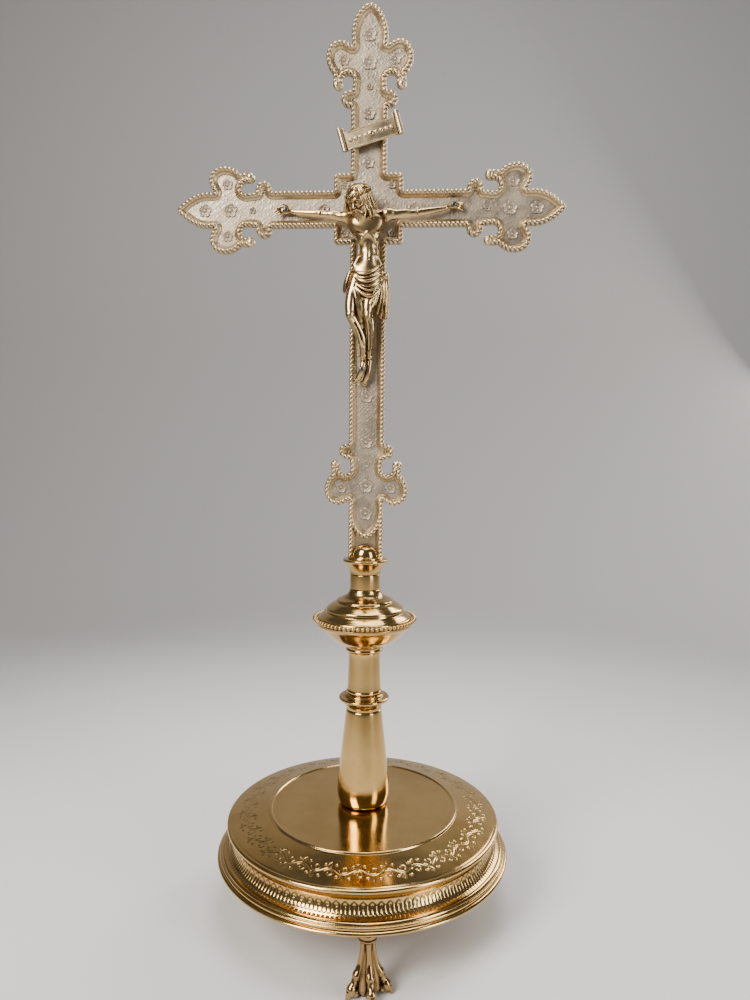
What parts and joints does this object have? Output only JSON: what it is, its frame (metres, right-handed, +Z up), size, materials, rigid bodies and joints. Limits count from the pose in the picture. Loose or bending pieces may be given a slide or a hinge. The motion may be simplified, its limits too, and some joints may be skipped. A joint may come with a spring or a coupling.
{
  "type": "altar cross",
  "caption": "Standing altar cross: cast brass cross with fleuron arm ends, corpus and scroll on a turned stem with a beaded knop, over a round spun base on claw feet.",
  "frame": {"origin": "on the table, under the middle of the base", "axes": "+Z up along the stem, +X along the right arm seen from the front, +Y to the back; the corpus faces -Y"},
  "size_m": [0.23, 0.1856, 0.5397],
  "materials": {
    "polished_brass": "polished and lacquered, fine turning lines",
    "cast_brass": "matt pale cast brass, brighter on the rope border",
    "foot_brass": "cast and polished, darker in the hollows",
    "figure_brass": "cast and polished, toned brown in the hollows",
    "steel": "plain, slightly dulled"
  },
  "bodies": {
    "root": {"base_bottom_ring": "polished_brass", "base_side_band": "polished_brass", "base_top_plate": "polished_brass", "stem_cone": "polished_brass", "stem_ring": "polished_brass", "middle_tube": "polished_brass", "knop_lower_shell": "polished_brass", "knop_bead_ring": "polished_brass", "knop_upper_shell": "polished_brass", "neck_tube": "polished_brass", "cross_socket": "polished_brass", "cross_casting": "cast_brass", "titulus_scroll": "cast_brass", "titulus_rivet": "cast_brass", "claw_foot_front": "foot_brass", "claw_foot_right": "foot_brass", "claw_foot_left": "foot_brass", "corpus": "figure_brass", "foot_screw_front": "steel", "foot_screw_right": "steel", "foot_screw_left": "steel", "tie_rod": "steel", "tie_rod_washer": "steel", "tie_rod_nut": "steel", "socket_screw": "steel", "hand_nail_left": "steel", "hand_nail_right": "steel", "foot_nail": "steel", "hand_nut_left": "steel", "hand_nut_right": "steel", "foot_nut": "steel"}
  },
  "joints": []
}
